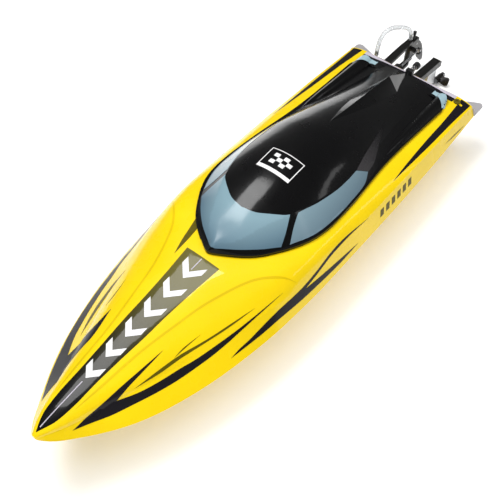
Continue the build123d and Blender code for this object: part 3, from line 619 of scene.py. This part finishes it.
# Painted shade: the hull's yellow darkened, laid along the crease
CREASE_SHADE = sheet_print_and_painted_light("painted_crease_shade", rgb(YELLOW, 0.78), 0.3)
for side_name, side in BOTH_SIDES:
    upper = [(x, side * y) for x, y in PLATFORM_SHADE_LINE]
    lower = [(x - CREASE_BACK, side * (y - CREASE_IN)) for x, y in PLATFORM_SHADE_LINE]
    lower = [upper[-1]] + lower[-2:0:-1] + [upper[0]]
    lay_sheet(f"platform_painted_shade_{side_name}", outline(upper, lower), TOP_VIEW, HULL_SURFACE, CREASE_SHADE,
              "hull")

# Black strip behind the canopy, and a painted highlight: a pale lilac line along the transom's bevelled edge
BEVEL_EDGE = [(-293.5, 64), (-294.5, 50), (-297.6, 28), (-297.6, -28), (-294.5, -50), (-293.5, -64)]
STRIP = outline([(-286.5, 64), BEVEL_EDGE[0]], BEVEL_EDGE, [BEVEL_EDGE[-1], (-286.5, -64)])
lay_sheet("rear_strip", STRIP, TOP_VIEW, HULL_SURFACE, BLACK_PRINT, "hull")
BEVEL_HIGHLIGHT = outline([BEVEL_EDGE[0], (-299.7, 64)], [(-299.7, 64), (-299.7, -64)], BEVEL_EDGE[::-1])
lay_sheet("transom_bevel_painted_highlight", BEVEL_HIGHLIGHT, TOP_VIEW, HULL_SURFACE, LILAC_HIGHLIGHT, "hull")


# ------------------------------------------------------------------ windows and number plate
def window_print_painted_sheen(name, low, high, z_low, z_high):
    """Window print with a painted reflection: darker at the foot than at the top."""
    n = Nodes(name)
    n.colour(n.ramp(run_along(n, "Z", z_low, z_high, SHIFT.z), [(0.0, low), (1.0, high)]))
    n.rough(n.grey_ramp(n.noise(n.place(), 50, 3), 0.1, 0.16))
    n.bump(n.noise(n.place(), 300, 2), 0.04, PAINT_RELIEF)
    n.set(Coat_Weight=1.0, Coat_Roughness=0.17, Coat_IOR=1.34, Specular_IOR_Level=0.15)
    return n.material


# Painted shade and reflection: window colour runs from dark at the foot to pale at the top
WINDOW_SHADED_FOOT = (0.10, 0.175, 0.235)
WINDOW_LIT_TOP = (0.23, 0.36, 0.42)
FRONT_GLASS = window_print_painted_sheen("window_front_painted_sheen", WINDOW_SHADED_FOOT, WINDOW_LIT_TOP, 79, 96)
SIDE_GLASS = window_print_painted_sheen("window_side_painted_sheen", (0.13, 0.2, 0.25), (0.22, 0.33, 0.385), 70, 92)

FRONT_BASE = [(67.5, 0), (62, 9), (52, 24), (38, 39), (23, 51)]
FRONT_TOP = [(-3, 41), (2, 37), (11, 26), (18.5, 14), (21.5, 0)]
PILLAR = [(23, 51), (11, 47), (-3, 41)]
GLASS_CELL = 1.8
CANOPY_LIFT = 0.3
front = outline(FRONT_BASE, PILLAR, FRONT_TOP, mirrored(FRONT_TOP), mirrored(PILLAR),
                mirrored(FRONT_BASE))
lay_sheet("windscreen", front, TOP_VIEW, CANOPY_SURFACE, FRONT_GLASS, "canopy",
          cell=GLASS_CELL, lift=CANOPY_LIFT)

WINDOW_FRONT = [(15, 55.5), (2, 49.5), (-11, 45)]
WINDOW_TOP = [(-11, 45), (-36, 51), (-63, 54), (-85, 54), (-100, 53)]
WINDOW_REAR = [(-100, 53), (-115, 59)]
WINDOW_LOW = [(-115, 59), (-101, 64.5), (-78, 67), (-45, 68.4), (-12, 65.6), (15, 55.5)]
side_window = outline(WINDOW_FRONT, WINDOW_TOP, WINDOW_REAR, WINDOW_LOW)
for side_name, side in BOTH_SIDES:
    lay_sheet(f"side_window_{side_name}", on_side(side_window, side), TOP_VIEW, CANOPY_SURFACE,
              SIDE_GLASS, "canopy", cell=GLASS_CELL, lift=CANOPY_LIFT)

# Pale rings round the aft ends of the nacelles
RING_OUTER = [(-287, 40), (-289.5, 46), (-286, 53), (-279, 60), (-270, 64)]
RING_INNER = [(-264, 62.5), (-269, 57), (-275, 50), (-279.5, 44.5), (-280, 40)]
RING_CELL = 1.6
RING_LIFT = 0.5
ring_loop = outline(RING_OUTER, [RING_OUTER[-1], RING_INNER[0]], RING_INNER,
                    [RING_INNER[-1], RING_OUTER[0]])
for side_name, side in BOTH_SIDES:
    ring = lay_sheet(f"nacelle_ring_{side_name}", on_side(ring_loop, side), TOP_VIEW, REAR_SURFACE,
                     FINISHES["ring_blue"], "canopy", cell=RING_CELL, lift=RING_LIFT)
    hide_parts("nacelle_rings")

# Painted reflection: grey sheen on the facets behind the side windows, fading to the canopy's black
PANEL_TOP = [(-101, 53), (-125, 47), (-150, 41.5), (-186, 33)]
PANEL_LOW = [(-186, 33), (-162, 43), (-144, 51), (-130, 56.5), (-116, 59)]
PANEL_SHEEN_COLOURS = [(0.0, (0.05, 0.047, 0.05)), (1.0, (0.004, 0.004, 0.0045))]
PANEL_SHEEN = fading_print_and_painted_sheen("painted_panel_sheen", PANEL_SHEEN_COLOURS, -105, -175)
panel = outline(PANEL_TOP, PANEL_LOW, [PANEL_LOW[-1], PANEL_TOP[0]])
for side_name, side in BOTH_SIDES:
    lay_sheet(f"side_panel_painted_sheen_{side_name}", on_side(panel, side), TOP_VIEW, CANOPY_SURFACE, PANEL_SHEEN,
              "canopy")

# Framed chequer on the roof
PLATE_X0, PLATE_X1, PLATE_HALF = -54.0, -26.0, 20.0
PLATE_LINE = 0.9
PLATE_HEAVY_LINE = 4.2
plate_bars = [
    bar(PLATE_X0, PLATE_X0 + PLATE_LINE, -PLATE_HALF, PLATE_HALF),
    bar(PLATE_X0, PLATE_X1, PLATE_HALF - PLATE_LINE, PLATE_HALF),
    bar(PLATE_X0, PLATE_X1, -PLATE_HALF, -PLATE_HALF + PLATE_LINE),
    bar(PLATE_X1 - PLATE_HEAVY_LINE, PLATE_X1, -PLATE_HALF, PLATE_HALF),
]
CHECK = 4.6
CHECK_STRETCH = 1.3
CHECK_ROWS, CHECK_COLUMNS = 3, 4
CHECK_MARGIN = 5.0
for row in range(CHECK_ROWS):
    for column in range(CHECK_COLUMNS):
        if (row + column) % 2 == 0:
            x0 = PLATE_X0 + CHECK_MARGIN + row * CHECK
            y0 = -2 * CHECK * CHECK_STRETCH + column * CHECK * CHECK_STRETCH
            plate_bars.append(bar(x0, x0 + CHECK, y0, y0 + CHECK * CHECK_STRETCH))
for i, loop in enumerate(plate_bars):
    lay_sheet(f"roof_plate_{i}", loop, TOP_VIEW, CANOPY_SURFACE, WHITE_PRINT, "canopy",
              lift=CANOPY_LIFT)


# ------------------------------------------------------------------ studio
def make_studio():
    floor_mesh = bpy.data.meshes.new("floor")
    half = FLOOR_HALF
    floor_mesh.from_pydata([(-half, -half, 0), (half, -half, 0), (half, half, 0), (-half, half, 0)], [],
                           [(0, 1, 2, 3)])
    n = Nodes("floor_white")
    n.set(Base_Color=(0.93, 0.93, 0.93, 1), Roughness=0.9, Specular_IOR_Level=0.1)
    n.set(Emission_Color=(1, 1, 1, 1), Emission_Strength=FLOOR_GLOW)
    floor_mesh.materials.append(n.material)
    add_object("floor", floor_mesh)
    world = bpy.data.worlds.new("studio")
    bpy.context.scene.world = world
    world.use_nodes = True
    world.node_tree.nodes["Background"].inputs["Color"].default_value = (1, 1, 1, 1)
    world.node_tree.nodes["Background"].inputs["Strength"].default_value = WORLD_LIGHT
    for name, place, target, width, height, power, reflected in LIGHTS:
        data = bpy.data.lights.new(name, "AREA")
        data.shape = "RECTANGLE"
        data.size = width
        data.size_y = height
        data.energy = power
        lamp = add_object(name, data)
        lamp.location = place
        lamp.visible_glossy = reflected
        lamp.rotation_euler = (Vector(place) - Vector(target)).to_track_quat("Z", "Y").to_euler()
    bpy.context.scene.view_settings.view_transform = "Standard"
    bpy.context.scene.view_settings.look = "None"


FLOOR_HALF = 30.0
WORLD_LIGHT = 0.12
FLOOR_GLOW = 0.16
# Name, place, target, width, height, watts, and whether gloss reflects the lamp
LIGHTS = [
    ("key", (-0.02, -0.72, 1.75), (-0.02, 0, 0), 0.94, 0.7, 16, True),
    ("top", (0, -0.1, 2.2), (0, 0, 0), 2.6, 2.6, 42, False),
    ("front", (1.3, 1.3, 0.9), (0.1, 0, 0.05), 1.2, 0.8, 11, False),
    ("rim", (-0.95, 1.35, 1.15), (-0.1, 0, 0.05), 1.3, 0.2, 1.6, True),
]
make_studio()
